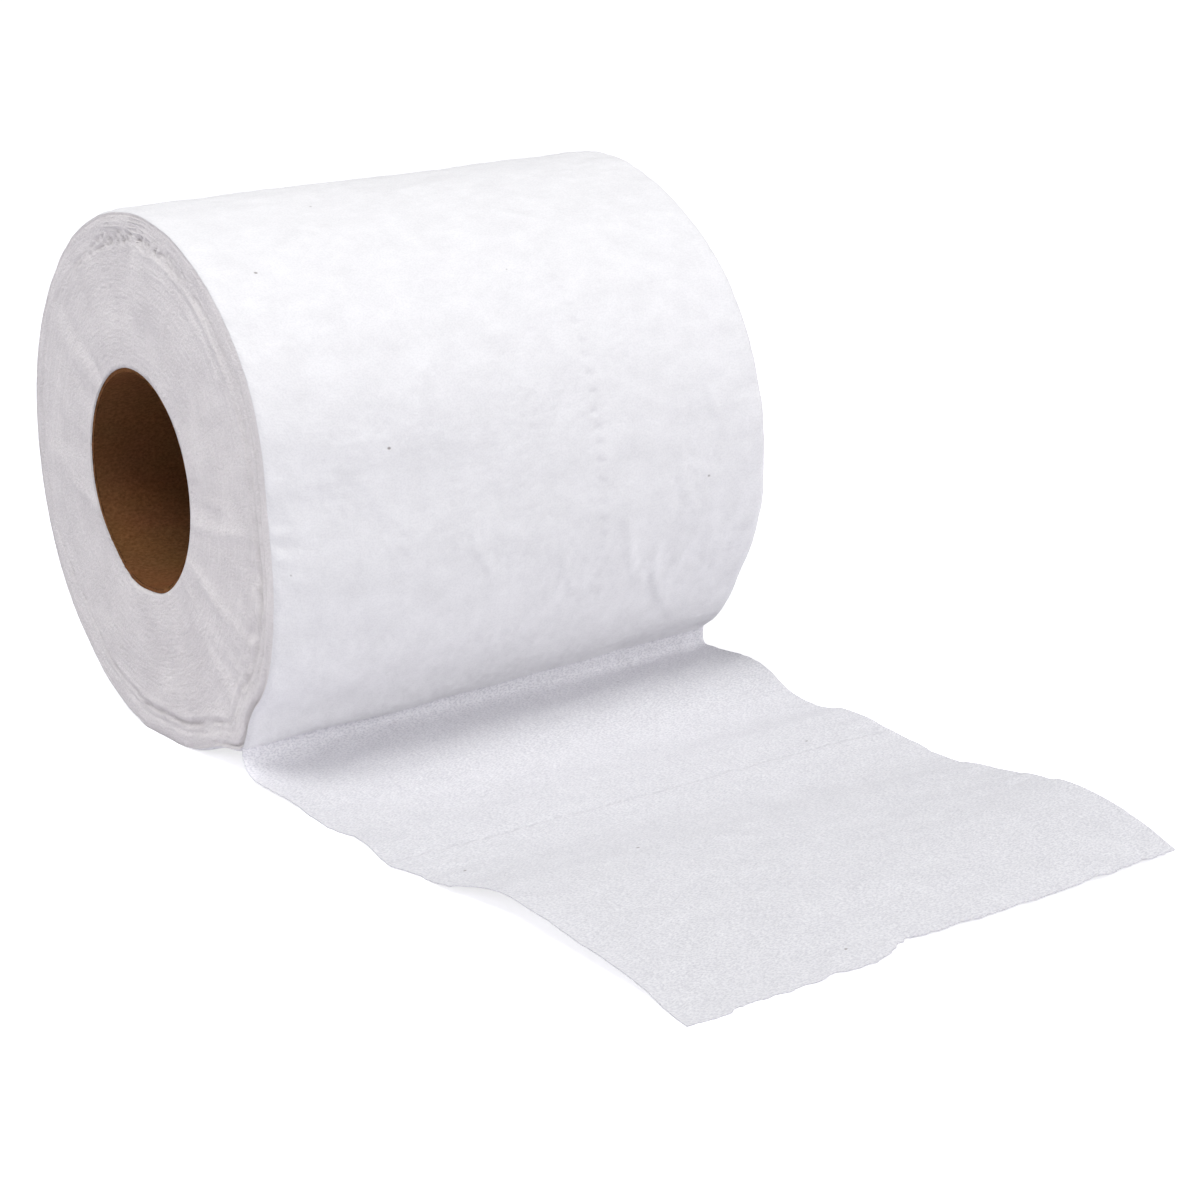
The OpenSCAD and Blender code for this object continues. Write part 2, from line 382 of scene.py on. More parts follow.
# Rows of points round the roll, from where the paper leaves it back over the top to just under that place.
# They are close together on the front and top, and twice as far apart behind and below.
roll_angles = [leave_angle + 360.0]
while roll_angles[-1] > leave_angle + peel:
    fine = (roll_angles[-1] % 360) < leave_angle + 1 and (roll_angles[-1] % 360) > 50
    roll_angles.append(roll_angles[-1] - math.degrees((fine_step if fine else coarse_step) / roll_r))
roll_angles = np.array(roll_angles)
roll_angles[-1] = leave_angle + peel
leave_shift = smooth_curve(leaving_line[:, 0], leaving_line[:, 1], share)
roll_rows = outline(roll_angles[:, None] + leave_shift, share[None, :])

# Rows down the loose end: a tight bend at the floor, then the run to the torn edge.
one_line = np.zeros_like(across)
ragged = 0.3 * smooth_noise(across / 0.9, one_line, 11) + 0.35 * smooth_noise(across / 3.1, one_line, 12)
run_end = -reach - core_back + np.interp(share, torn_edge[:, 0], torn_edge[:, 1]) + ragged
run_start = outline(leave_angle, 0.5)[0] - bend
before = np.linspace(run_start, perforation_y + 0.5, 74)
after = np.linspace(0, 1, 134)[1:]
tear_rows = perforation_y - 0.5 + (run_end[None, :] - perforation_y + 0.5) * after[:, None]
slit_rows = perforation_y + np.array([0.2, 0, -0.2, -0.5])
run_y = np.concatenate([np.repeat(np.concatenate([before, slit_rows])[:, None], columns, 1), tear_rows])
run_v = (run_y - run_start) / (run_end[None, :] - run_start)
near_height = smooth_curve(wave_rows[:, 0], wave_rows[:, 1], run_v)
far_height = smooth_curve(wave_rows[:, 0], wave_rows[:, 2], run_v)
run_height = np.maximum(near_height * (1 - share) + far_height * share, 0)
run_rows = np.stack([run_y, floor_z + paper + run_height], -1)
leave = outline(leave_angle + leave_shift, share)
fold_z = np.minimum(run_rows[0, :, 1] - 0.8 * share, leave[:, 1] - 2)
fold = np.stack([leave[:, 0] + 0.8 - 0.2 * share, fold_z], -1)
crisp = (0.6 + 0.44 * share)[:, None]
first, second = leave + crisp * (fold - leave), run_rows[0] + crisp * (fold - run_rows[0])
u = np.linspace(0, 1, 30)[1:-1, None, None]
bend_rows = (leave * (1 - u) ** 3 + 3 * first * u * (1 - u) ** 2 + 3 * second * u * u * (1 - u)
             + run_rows[0] * u ** 3)
loose_rows = np.concatenate([leave[None], bend_rows, run_rows])

# The whole web from under the leaving line, over the roll and down to the torn edge, as one sheet.
web_rows = np.concatenate([roll_rows[::-1], loose_rows[1:]])
leave_row = len(roll_angles) - 1
step = np.linalg.norm(np.diff(web_rows, axis=0), axis=-1)
along_web = np.concatenate([np.zeros((1, columns)), np.cumsum(step, 0)])
along_web -= along_web[leave_row]
web_x = np.broadcast_to(across - roll_len / 2, along_web.shape)
ahead = np.gradient(web_rows, axis=0)
web_side = np.stack([ahead[..., 1], -ahead[..., 0]], -1)
web_side /= np.linalg.norm(web_side, axis=-1, keepdims=True)

# The dots stand in staggered rows, and the crepe has moved each a little out of its place.
dot_rows = np.arange(along_web.min() - 3, along_web.max() + 3, dot_gap)
dot_columns = np.arange(-roll_len / 2 + 0.9, roll_len / 2 - 0.9, dot_gap)
dots = np.stack(np.meshgrid(dot_columns, dot_rows), -1)
dots[1::2, :, 0] += dot_gap / 2
dots = dots.reshape(-1, 2)
dots = dots + np.random.default_rng(41).uniform(-dot_stray, dot_stray, dots.shape)

flat = np.stack([web_x, along_web, np.zeros_like(web_x)], -1)
flat_web = make_mesh("flat_web", flat.reshape(-1, 3), grid_faces(*web_x.shape))


def marks(name, starts, ends):
    """Short strokes on the flat web, one edge for each."""
    points = np.concatenate([starts, ends])
    points = np.concatenate([points, np.zeros((len(points), 1))], 1)
    count = len(starts)
    return make_mesh(name, points, [], [(i, i + count) for i in range(count)])


dot_marks = marks("dot_marks", dots, dots + np.array([0.0, 0.3]))
crimp_run = np.arange(along_web.min(), along_web.max(), crimp_gap)
one_line = np.zeros_like(crimp_run)
crimp_run = crimp_run + 0.9 * smooth_noise(crimp_run / crimp_gap, one_line, 21)
crimp_line = np.stack([crimp_x + 0.25 * smooth_noise(crimp_run, one_line, 22), crimp_run], -1)
crimp_marks = marks("crimp_marks", crimp_line - np.array([0.5, 0.25]), crimp_line + np.array([0.5, 0.25]))
slit_x = np.arange(-roll_len / 2 + 0.6, roll_len / 2 - slit_length, slit_length + slit_gap)
slit_row = leave_row + len(bend_rows) + 1 + len(before) + 1
slit_line = np.stack([slit_x, np.interp(slit_x, web_x[slit_row], along_web[slit_row])], -1)
slit_marks = marks("slit_marks", slit_line, slit_line + np.array([slit_length, 0]))

pressing, given, result = make_tree("pressed_marks", [
    ("Marks", "NodeSocketObject"), ("Reach", "NodeSocketFloat"), ("Depth", "NodeSocketFloat"),
    ("Material", "NodeSocketMaterial"),
])
source = pressing.nodes.new("GeometryNodeObjectInfo")
pressing.links.new(given.outputs["Marks"], source.inputs["Object"])
nearest = pressing.nodes.new("GeometryNodeProximity")
nearest.target_element = "EDGES"
pressing.links.new(source.outputs["Geometry"], nearest.inputs[0])
pressed = pressing.nodes.new("ShaderNodeMapRange")
pressed.interpolation_type = "SMOOTHSTEP"
pressed.inputs["To Max"].default_value = 0
pressing.links.new(nearest.outputs["Distance"], pressed.inputs["Value"])
pressing.links.new(given.outputs["Reach"], pressed.inputs["From Max"])
pressing.links.new(calculate(pressing, "MULTIPLY", given.outputs["Depth"], -1.0), pressed.inputs["To Min"])
lift = pressing.nodes.new("ShaderNodeCombineXYZ")
pressing.links.new(pressed.outputs["Result"], lift.inputs[2])
move = pressing.nodes.new("GeometryNodeSetPosition")
pressing.links.new(given.outputs["Geometry"], move.inputs["Geometry"])
pressing.links.new(lift.outputs[0], move.inputs["Offset"])
close_tree(pressing, given, result, move.outputs["Geometry"])


def press(mark_piece, mark_reach, depth):
    """Presses marks into the flat web and gives the height at each of its points."""
    sheet = make_mesh("pressed_web", flat.reshape(-1, 3), grid_faces(*web_x.shape))
    apply_tree(sheet, pressing, {"Marks": mark_piece, "Reach": mark_reach * mm, "Depth": depth * mm})
    raised = np.empty(len(sheet.data.vertices) * 3)
    sheet.data.vertices.foreach_get("co", raised)
    bpy.data.objects.remove(sheet)
    return raised.reshape(-1, 3)[:, 2].reshape(web_x.shape) / mm


# The dots are deeper in some patches than in others, and the crimp shows best low on the front.
patchy = 0.35 + 0.65 * blend(-0.35, 0.5, smooth_noise(along_web / 9 + 60, web_x / 12 + 20, 43))
embossed = press(dot_marks, dot_reach, dot_depth) * patchy
crimped = press(crimp_marks, crimp_reach, crimp_depth) * (0.15 + 0.85 * bump(along_web, -55, 30))
slit = press(slit_marks, slit_reach, slit_depth)
# Crimp grooves and slits are darkened by painted shade, the more the deeper they are pressed.
painted_groove_shade = 0.6 * np.clip(-crimped / 0.25, 0, 1) + 0.8 * np.clip(-slit / 0.2, 0, 1)
embossed += crimped + slit
for used in (flat_web, dot_marks, crimp_marks, slit_marks):
    bpy.data.objects.remove(used)


def mixed(tree, amount, low, high):
    """Mixes two colours, each given as a value or a socket."""
    node = tree.nodes.new("ShaderNodeMix")
    node.data_type = "RGBA"
    for socket, value in ((node.inputs[0], amount), (node.inputs[6], low), (node.inputs[7], high)):
        if hasattr(value, "is_output"):
            tree.links.new(value, socket)
        else:
            socket.default_value = value
    return node.outputs[2]


def ranged(tree, value, start, end, low, high):
    """Maps a value from one range to another and keeps it inside."""
    node = add_node(tree, "ShaderNodeMapRange", Value=value)
    for label, number in (("From Min", start), ("From Max", end), ("To Min", low), ("To Max", high)):
        node.inputs[label].default_value = number
    return node.outputs["Result"]


def tissue_material(name, dark, light, fibre, mottle, lint, fleck_scale, painted_fold_light, crepe_height):
    """Soft creped tissue, whose fibres, lint and cloudy formation show in its colour and its surface, with
    painted light in the fold and painted shade in the crimp grooves and slits.
    """
    material, tree, shader = make_material(name, 0.92)
    shader.inputs["Specular IOR Level"].default_value = 0.15
    shader.inputs["Sheen Weight"].default_value = 0.1
    shader.inputs["Sheen Roughness"].default_value = 0.5
    shader.inputs["Subsurface Weight"].default_value = 0.1
    shader.inputs["Subsurface Radius"].default_value = (1, 1, 1)
    shader.inputs["Subsurface Scale"].default_value = 0.0008
    web = add_node(tree, "ShaderNodeUVMap", {"uv_map": "web"}).outputs["UV"]
    formation = add_node(tree, "ShaderNodeTexNoise", Vector=stretched(tree, web, (1050, 1250, 1)),
                         Scale=1.0, Detail=4.0, Roughness=0.7, Distortion=0.6).outputs["Fac"]
    clouds = add_node(tree, "ShaderNodeTexNoise", Vector=stretched(tree, web, (150, 190, 1)),
                      Scale=1.0, Detail=3.0, Roughness=0.6).outputs["Fac"]
    strands = add_node(tree, "ShaderNodeTexNoise", Vector=stretched(tree, web, (520, 640, 1)),
                       Scale=1.0, Detail=2.0, Roughness=0.5, Distortion=1.6).outputs["Fac"]
    crepe = add_node(tree, "ShaderNodeTexNoise", Vector=stretched(tree, web, (600, 900, 1)),
                     Scale=1.0, Detail=3.0, Roughness=0.6).outputs["Fac"]
    flecks = add_node(tree, "ShaderNodeTexNoise", Vector=stretched(tree, web, fleck_scale),
                      Scale=1.0, Detail=1.0, Roughness=0.5).outputs["Fac"]
    strand = ranged(tree, calculate(tree, "ABSOLUTE", calculate(tree, "SUBTRACT", strands, 0.5)),
                    0.0, 0.035, 1.0, 0.0)
    cloudy = calculate(tree, "ADD", calculate(tree, "MULTIPLY", formation, mottle),
                       calculate(tree, "MULTIPLY", clouds, 1.0 - mottle))
    base = mixed(tree, ranged(tree, cloudy, 0.36, 0.64, 0.0, 1.0), dark, light)
    base = mixed(tree, calculate(tree, "MULTIPLY", strand, fibre), base, (0.93, 0.925, 0.94, 1))
    along = add_node(tree, "ShaderNodeSeparateXYZ", Vector=web).outputs["Y"]
    shown = ranged(tree, along, 0.004, 0.03, lint, 0.85 * lint)
    # Near the fold the colour is lightened towards pale lilac: painted light that lifts the fold's shade.
    base = mixed(tree, ranged(tree, along, 0.001, 0.02, painted_fold_light, 0.0), base, (0.93, 0.91, 0.96, 1))
    base = mixed(tree, calculate(tree, "MULTIPLY", ranged(tree, flecks, 0.52, 0.4, 0.0, 1.0), shown), base,
                 (0.45, 0.45, 0.5, 1))
    base = mixed(tree, calculate(tree, "MULTIPLY", ranged(tree, flecks, 0.54, 0.66, 0.0, 1.0), shown), base,
                 (0.98, 0.975, 0.98, 1))
    # Painted shade in the crimp grooves and slits, read from the pressed attribute.
    pressed = add_node(tree, "ShaderNodeAttribute", {"attribute_name": "pressed"}).outputs["Fac"]
    base = mixed(tree, calculate(tree, "MULTIPLY", pressed, 0.5), base, (0.55, 0.53, 0.57, 1))
    cells = add_node(tree, "ShaderNodeTexVoronoi", Vector=stretched(tree, web, (75, 105, 1)),
                     Scale=1.0, Randomness=1.0)
    rare = add_node(tree, "ShaderNodeSeparateColor", Color=cells.outputs["Color"]).outputs["Red"]
    speck = calculate(tree, "MULTIPLY", ranged(tree, cells.outputs["Distance"], 0.016, 0.034, 0.7, 0.0),
                      calculate(tree, "GREATER_THAN", rare, 0.35))
    base = mixed(tree, speck, base, (0.16, 0.12, 0.11, 1))
    tree.links.new(base, shader.inputs["Base Color"])
    low = add_node(tree, "ShaderNodeBump", Height=crepe, Strength=crepe_height, Distance=0.0003)
    mid = add_node(tree, "ShaderNodeBump", Height=formation, Strength=crepe_height, Distance=0.0003,
                   Normal=low.outputs["Normal"])
    top = add_node(tree, "ShaderNodeBump", Height=strand, Strength=fibre, Distance=0.0001,
                   Normal=mid.outputs["Normal"])
    tree.links.new(top.outputs["Normal"], shader.inputs["Normal"])
    return material


tissue = tissue_material(
    "tissue", (0.82, 0.81, 0.825, 1), (0.89, 0.88, 0.895, 1), fibre=0.12, mottle=0.35, lint=0.08,
    fleck_scale=(2600, 2900, 1), painted_fold_light=0.0, crepe_height=0.25)


# The wound turns are the rest of that web, rolled round the tube. The roll has gone soft: it lies on a flat
# spot, its tube sits off the middle, and the outer turns at the foot of the near end have slipped loose.
# Each crease is [distance along the web, place across it, heading, half length, half width, height].
web_creases = [
    (-104, 16.5, 35, 7, 0.8, 0.35), (-88, 3, 80, 22, 1.3, 0.25), (-40, -10, 62, 7, 1.2, 0.4),
    (-31, 9, 68, 7, 1, 0.3), (-33, 22, 74, 9, 1, 0.4), (-24, 30, 70, 10, 1, 0.4),
    (-46, 33, 80, 9, 0.9, 0.35), (-62, 40, 84, 12, 1, 0.35), (-52, -30, 50, 8, 1.4, 0.3),
    (-70, -20, 110, 9, 1.4, 0.25),
    (14, -48.5, 84, 8, 0.9, 0.4), (52, 14, 88, 30, 1.6, 0.3), (75, -20, 80, 25, 2.2, 0.35),
    (96, 28, 96, 22, 2, 0.35), (36, -22, 70, 15, 2, 0.3), (118, -8, 60, 14, 1.6, 0.3),
    (67, -45, 20, 5, 1, 0.5), (73, -47, 35, 4, 0.8, 0.4),
]


def wrinkles(rows):
    """Depth of the web's folds and puckers, in millimetres, out from the roll."""
    w, x = along_web[rows], web_x[rows]
    near = x + roll_len / 2
    far = roll_len / 2 - x
    height = 0.24 * smooth_noise(w / 13 + 40, x / 19 + 5, 31)
    height = height + 0.12 * smooth_noise(w / 4.5 + 70, x / 8 + 9, 32)
    height = height + 0.07 * smooth_noise(w / 2.2 + 170, x / 2.6 + 49, 36)
    height = height + 0.035 * smooth_noise(w / 26 + 210, x / 1.5 + 77, 37)
    slanted, level = 0.4 * x - 0.92 * w, 0.92 * x + 0.4 * w
    far_folds = blend(62, 20, far) * bump(w, -34, 28)
    height = height + 0.3 * far_folds * smooth_noise(slanted / 13 + 90, level / 2.3 + 60, 33)
    near_rim = near / 2.2 * np.exp(1 - near / 2.2)
    far_rim = far / 2.4 * np.exp(1 - far / 2.4)
    near_rim = near_rim * (0.12 + bump(w, -45, 32))
    height = height + 0.26 * near_rim * smooth_noise(w / 2.1 + 200, near / 5, 34)
    height = height + 0.20 * far_rim * smooth_noise(w / 2.4 + 300, far / 5, 35)
    for w0, x0, heading, half_length, half_width, rise in web_creases:
        c, s = math.cos(math.radians(heading)), math.sin(math.radians(heading))
        along_it, across_it = (x - x0) * c + (w - w0) * s, (w - w0) * c - (x - x0) * s
        across_it = across_it + 0.02 * along_it ** 2
        height = height + rise * bump(along_it, 0, half_length) * bump(across_it, 0, half_width)
    return height


def place_web(rows):
    """Points of the web's outer face with its pressing and folds, in millimetres."""
    lifted = embossed[rows] + wrinkles(rows)
    flat_part = web_rows[rows] + lifted[..., None] * web_side[rows]
    flat_part[..., 1] = np.maximum(flat_part[..., 1], floor_z)
    wander = np.interp(flat_part[..., 0], near_wander[:, 0], near_wander[:, 1])
    wander = wander * np.exp(-(web_x[rows] + roll_len / 2) / 7) * (along_web[rows] > 0)
    return np.concatenate([(web_x[rows] + wander)[..., None], flat_part], -1)


web_points = place_web(slice(None))
web_normals = np.cross(np.gradient(web_points, axis=1), np.gradient(web_points, axis=0))
web_normals /= np.linalg.norm(web_normals, axis=-1, keepdims=True)
if web_normals[leave_row // 2, columns // 2] @ np.array([0, *web_side[leave_row // 2, columns // 2]]) < 0:
    web_normals = -web_normals

roll_points = web_points[:leave_row + 1]
roll_count = len(roll_points)
hole_r = 21.35
face_limit = 0.7

# Depth steps from the rim to the hole, closer together in the loosened outer turns.
ring_share = np.concatenate([np.linspace(0, 0.26, 25), np.linspace(0.26, 1, 30)[1:]])
rings = len(ring_share)

# Creases of an end face are [angle, start and end as shares inward, slant, half width, height]. Angles run
# from the back over the top.
face_creases = [
    (97, 0.3, 0.95, 4, 2.2, 0.28), (84, 0.3, 0.8, -3, 2.0, 0.2), (108, 0.4, 0.9, 5, 2.4, 0.2),
    (66, 0.35, 0.8, -10, 2.4, 0.15), (43, 0.1, 0.98, 7, 1.8, -0.35), (38, 0.4, 0.95, 8, 2.4, 0.3),
    (36, 0.6, 0.98, -22, 1.6, -0.3), (353, 0.6, 1, -42, 1.6, 0.35), (20, 0.3, 0.8, -10, 2.2, 0.15),
    (183, 0.35, 0.95, 10, 1.8, 0.25), (207, 0.2, 1, 6, 2.2, 0.2), (213, 0.15, 0.7, -5, 2, 0.2),
    (228, 0.05, 0.95, -5, 2.2, 0.2), (222, 0.1, 0.6, 5, 2, -0.18), (247, 0.25, 1, -2, 1.8, 0.3),
    (262, 0.3, 0.9, 5, 2.2, 0.2), (292, 0.3, 0.9, -6, 2.4, 0.15), (150, 0.4, 0.9, 6, 2.4, 0.12),
]


def end_face(end):
    """Points of one end face from the rim inward, its painted shade in pits, grooves and gaps, its place
    along the arc and its depth, and how far the loosened edges are raised. Depths are in millimetres in
    from the rim."""
    rim = roll_points[:, 0 if end < 0 else -1]
    angle = np.mod(np.degrees(np.arctan2(rim[:, 2], rim[:, 1])), 360)[:, None]
    hole = np.stack([np.cos(np.radians(angle[:, 0])), np.sin(np.radians(angle[:, 0]))], -1)
    hole = hole * (hole_r - tube_dent(angle, end * tube_len / 2))
    t = ring_share[None, :, None]
    flat_part = rim[:, None, 1:] * (1 - t) + hole[:, None, :] * t
    depth = np.linalg.norm(rim[:, 1:] - hole, axis=-1)[:, None] * ring_share[None, :]
    seed = 50 if end < 0 else 80
    arc = np.radians(angle) * roll_r + 400
    all_round = 900

    def turned(middle, half):
        gap = np.mod(angle - middle + 180, 360) - 180
        return np.exp(-(gap / half) ** 2)

    def noise(length, width, number):
        return smooth_noise(arc / length + number, depth / width + 3 * number, seed + number)

    # The outer turns have come loose inside a line, and are pitted above and slack at the foot.
    upper, lower, foot = turned(95, 30), turned(262, 34), turned(206, 26)
    turn_at = 5.2 + 0.5 * noise(14, all_round, 1) - 3.3 * turned(10, 42)
    line_at = turn_at + 0.3 * noise(5, all_round, 2) + 0.25 * noise(1.5, all_round, 10)
    line_depth = 0.09 + 0.26 * lower + 0.12 * turned(320, 40) + 0.06 * turned(190, 45)
    line_depth = line_depth * (0.8 + 0.5 * noise(2.2, all_round, 13))
    loose = blend(0.8, 2, depth) * blend(turn_at + 0.9, turn_at - 0.4, depth)
    pits = upper * blend(0.05, 0.6, noise(0.8, 0.55, 4)) * bump(depth, 4.7, 1.5)
    arcs = turned(182, 55) * bump(depth, 4.6, 2.6) * noise(15, 0.5, 14)
    hatch = turned(186, 34) * bump(depth, 3.8, 1.9) * noise(2.0, 0.5, 12)
    gap_line = turned(224, 11) * bump(depth, 0.75, 0.28)

    out = -0.35 * np.exp(-depth / 0.4) - 0.38 * pits
    out = out - line_depth * bump(depth, line_at, 0.6) - 0.5 * line_depth * bump(depth, line_at - 1.7, 0.5)
    out = out + 0.14 * lower * bump(depth, line_at + 1.1, 0.7) + 0.12 * loose * lower * noise(1.6, 1.0, 5)
    out = out + 0.24 * turned(140, 36) * bump(depth, 6.6, 0.8)
    out = out + 0.18 * turned(134, 34) * bump(depth, 9.4, 0.9)
    out = out + 0.3 * foot * bump(depth, 6.5, 3) * noise(2.4, 1.3, 9)
    out = out + 0.06 * turned(135, 40) * bump(depth, 3, 1.5) * noise(0.8, 1.6, 11)
    out = out + 0.26 * noise(17, 8, 6) * blend(0, 3, depth) + 0.07 * noise(2.8, 10, 7) * blend(4, 8, depth)
    for middle, start, stop, slant, half, height in face_creases:
        centre = middle if end < 0 else 180 - middle
        gap = np.mod(angle - centre - slant * (ring_share[None, :] - start) + 180, 360) - 180
        shown = blend(start - 0.1, start + 0.08, ring_share) * blend(stop + 0.1, stop - 0.08, ring_share)
        out = out + 0.7 * height * bump(gap * (1.4 - ring_share[None, :]), 0, half) * shown[None, :]
    out = 1.6 * out + 0.16 * hatch - 0.9 * gap_line - 0.14 * arcs
    out = out * blend(0, 0.4, depth) * blend(1.0, 0.98, ring_share)[None, :]
    x = end * (roll_len / 2 + np.minimum(out, face_limit))

    # Painted shade: the pits, the grooves between loosened turns, the crinkled foot and the gap at the rim
    # are darkened.
    dark = 0.5 * pits + 1.3 * line_depth * bump(depth, line_at, 0.5) + 0.45 * np.maximum(arcs, 0)
    dark = dark + 0.35 * foot * bump(depth, 6.5, 2.5) * blend(0.2, 0.8, noise(1.6, 1.2, 8))
    dark = np.clip(1.4 * (dark + 0.4 * np.maximum(-hatch, 0) + 0.9 * gap_line), 0, 1)
    raised = -0.3 + 0.26 * np.maximum(upper, 0.8 * lower)[:, 0]
    return np.concatenate([x[..., None], flat_part], -1), dark, arc, depth, raised


near_face, near_painted_shade, near_run, near_depth, near_raised = end_face(-1)
far_face, far_painted_shade, far_run, far_depth, far_raised = end_face(1)

body_points = [roll_points.reshape(-1, 3), near_face[:, 1:].reshape(-1, 3), far_face[:, 1:].reshape(-1, 3)]
near_start = roll_count * columns
far_start = near_start + roll_count * (rings - 1)
row = np.arange(roll_count)


def face_index(start, rim_column):
    """Numbers of one end face's points, whose rim is shared with the outer face."""
    index = np.empty((roll_count, rings), int)
    index[:, 0] = row * columns + rim_column
    index[:, 1:] = start + row[:, None] * (rings - 1) + np.arange(rings - 1)
    return index


def ring_faces(index, flip):
    a, b = index, np.roll(index, -1, 0)
    quads = np.stack([a[:, :-1], a[:, 1:], b[:, 1:], b[:, :-1]], -1).reshape(-1, 4)
    return quads[:, ::-1] if flip else quads


near_index = face_index(near_start, 0)
far_index = face_index(far_start, columns - 1)
outer_index = row[:, None] * columns + np.arange(columns)
outer_faces = ring_faces(outer_index, True)
near_faces = ring_faces(near_index, False)
far_faces = ring_faces(far_index, True)
hole_index = np.stack([near_index[:, -1], far_index[:, -1]], -1)
hole_faces = ring_faces(hole_index, False)
body_faces = np.concatenate([outer_faces, near_faces, far_faces, hole_faces])

cut_tissue, tree, shader = make_material("cut_tissue", 0.95)
shader.inputs["Specular IOR Level"].default_value = 0.1
shader.inputs["Subsurface Weight"].default_value = 0.1
shader.inputs["Subsurface Radius"].default_value = (1, 1, 1)
shader.inputs["Subsurface Scale"].default_value = 0.0008
place = add_node(tree, "ShaderNodeTexCoord").outputs["Object"]
axes = add_node(tree, "ShaderNodeSeparateXYZ", Vector=place)
from_axis = calculate(tree, "SQRT", calculate(tree, "ADD", calculate(
    tree, "MULTIPLY", axes.outputs[1], axes.outputs[1]), calculate(
    tree, "MULTIPLY", axes.outputs[2], axes.outputs[2])))
rolled = add_node(tree, "ShaderNodeCombineXYZ")
tree.links.new(calculate(tree, "MULTIPLY", from_axis, 1100.0), rolled.inputs[0])
for number in (1, 2):
    direction = calculate(tree, "DIVIDE", axes.outputs[number], from_axis)
    tree.links.new(calculate(tree, "MULTIPLY", direction, 7.0), rolled.inputs[number])
layers = add_node(tree, "ShaderNodeTexNoise", Vector=rolled.outputs[0], Scale=1.0, Detail=2.0,
                  Roughness=0.5).outputs["Fac"]
sawn = add_node(tree, "ShaderNodeTexNoise", Vector=place, Scale=1700.0, Detail=3.0,
                Roughness=0.65).outputs["Fac"]
patches = add_node(tree, "ShaderNodeTexNoise", Vector=place, Scale=130.0, Detail=3.0,
                   Roughness=0.55).outputs["Fac"]
base = mixed(tree, ranged(tree, patches, 0.35, 0.65, 0.0, 1.0), (0.79, 0.752, 0.752, 1),
             (0.87, 0.832, 0.828, 1))
for shadow, start, end, weight in ((sawn, 0.3, 0.7, 0.32), (layers, 0.35, 0.65, 0.2)):
    shade = calculate(tree, "MULTIPLY", ranged(tree, shadow, start, end, 1.0, 0.0), weight)
    base = mixed(tree, shade, base, (0.62, 0.59, 0.60, 1))
# The shadowed attribute mixes in painted shade for the face's pits, grooves and gaps.
shadowed = add_node(tree, "ShaderNodeAttribute", {"attribute_name": "shadowed"}).outputs["Fac"]
base = mixed(tree, calculate(tree, "MULTIPLY", shadowed, 0.6), base, (0.52, 0.49, 0.475, 1))
tree.links.new(base, shader.inputs["Base Color"])
fine = add_node(tree, "ShaderNodeBump", Height=sawn, Strength=0.9, Distance=0.0004)
stack = add_node(tree, "ShaderNodeBump", Height=layers, Strength=0.6, Distance=0.0004,
                 Normal=fine.outputs["Normal"])
tree.links.new(stack.outputs["Normal"], shader.inputs["Normal"])


def set_uv(mesh, values):
    """Writes the web's own flat coordinates, given in millimetres for each corner, as metres."""
    layer = mesh.uv_layers.new(name="web")
    layer.data.foreach_set("uv", (np.asarray(values) * mm).ravel())


wound_paper = make_mesh("wound_paper", np.concatenate(body_points), body_faces)
mesh = wound_paper.data
outer_uv = np.zeros((len(mesh.vertices), 2))
outer_uv[:near_start] = np.stack([web_x[:roll_count], along_web[:roll_count]], -1).reshape(-1, 2)
face_uv = np.zeros_like(outer_uv)
painted_shade_at = np.zeros(len(mesh.vertices))
# Each end face's painted shade goes into the shadowed attribute.
for index, run, depth, loose in ((near_index, near_run, near_depth, near_painted_shade),
                                 (far_index, far_run, far_depth, far_painted_shade)):
    face_uv[index, 0] = run
    face_uv[index, 1] = depth
    painted_shade_at[index] = loose
corner = np.empty(len(mesh.loops), int)
mesh.loops.foreach_get("vertex_index", corner)
on_outer = len(outer_faces) * 4
set_uv(mesh, np.concatenate([outer_uv[corner[:on_outer]], face_uv[corner[on_outer:]]]))
mesh.attributes.new("shadowed", "FLOAT", "POINT").data.foreach_set("value", painted_shade_at)
# The outer face keeps the painted shade of its crimp grooves.
groove_shade_at = np.zeros(len(mesh.vertices))
groove_shade_at[:near_start] = painted_groove_shade[:roll_count].ravel()
mesh.attributes.new("pressed", "FLOAT", "POINT").data.foreach_set("value", groove_shade_at)
mesh.materials.append(tissue)
mesh.materials.append(cut_tissue)
slots = np.ones(len(mesh.polygons), int)
slots[:len(outer_faces)] = 0
mesh.polygons.foreach_set("material_index", slots)
mesh.shade_smooth()
normals = np.empty(len(mesh.vertices) * 3)
mesh.vertices.foreach_get("normal", normals)
normals = normals.reshape(-1, 3)
seam = outer_index[leave_row]
normals[seam] = web_normals[leave_row]
mesh.normals_split_custom_set_from_vertices(normals.tolist())
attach(wound_paper, "root")
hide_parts("tissue_roll")


# The outer turns are no longer pulled tight, so at both ends their cut edges stand apart as thin wavy
# lines. Each end has one strip of paper edge, which follows the spiral of those turns.
edge_turns = 6
edge_pitch = 0.85

